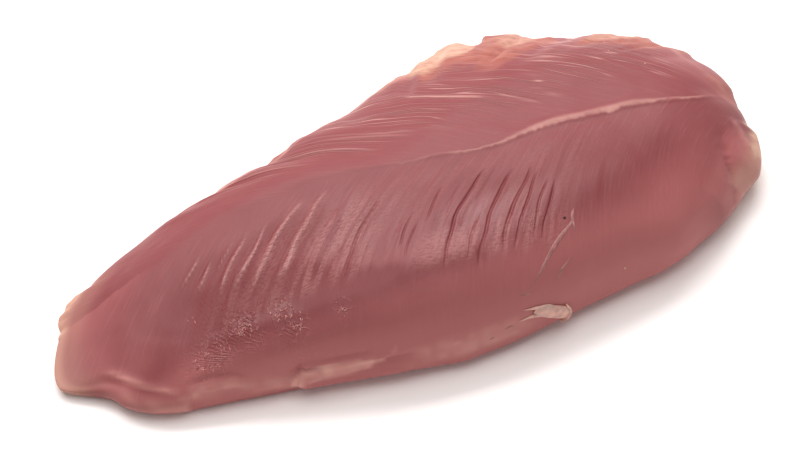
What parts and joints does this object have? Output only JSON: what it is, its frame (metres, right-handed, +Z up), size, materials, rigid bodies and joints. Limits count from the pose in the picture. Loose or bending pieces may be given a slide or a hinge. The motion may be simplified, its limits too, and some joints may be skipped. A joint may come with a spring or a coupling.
{
  "type": "raw turkey breast tenderloin",
  "caption": "Raw boneless turkey breast tenderloin: a long, plump strip of meat, thick at one end and thin at the tail, lying on its flat side.",
  "frame": {"origin": "under the middle of the piece, on the surface that it lies on", "axes": "+X along the piece, from the thin tail to the thick head; +Z up, away from the surface; +Y to the far side, where the pale fat tags are"},
  "size_m": [0.2236, 0.1084, 0.0316],
  "materials": {
    "raw_meat": "moist raw poultry meat, pink, softly glossy with fine muscle fibres"
  },
  "bodies": {
    "root": {"fillet": "raw_meat"}
  },
  "joints": []
}
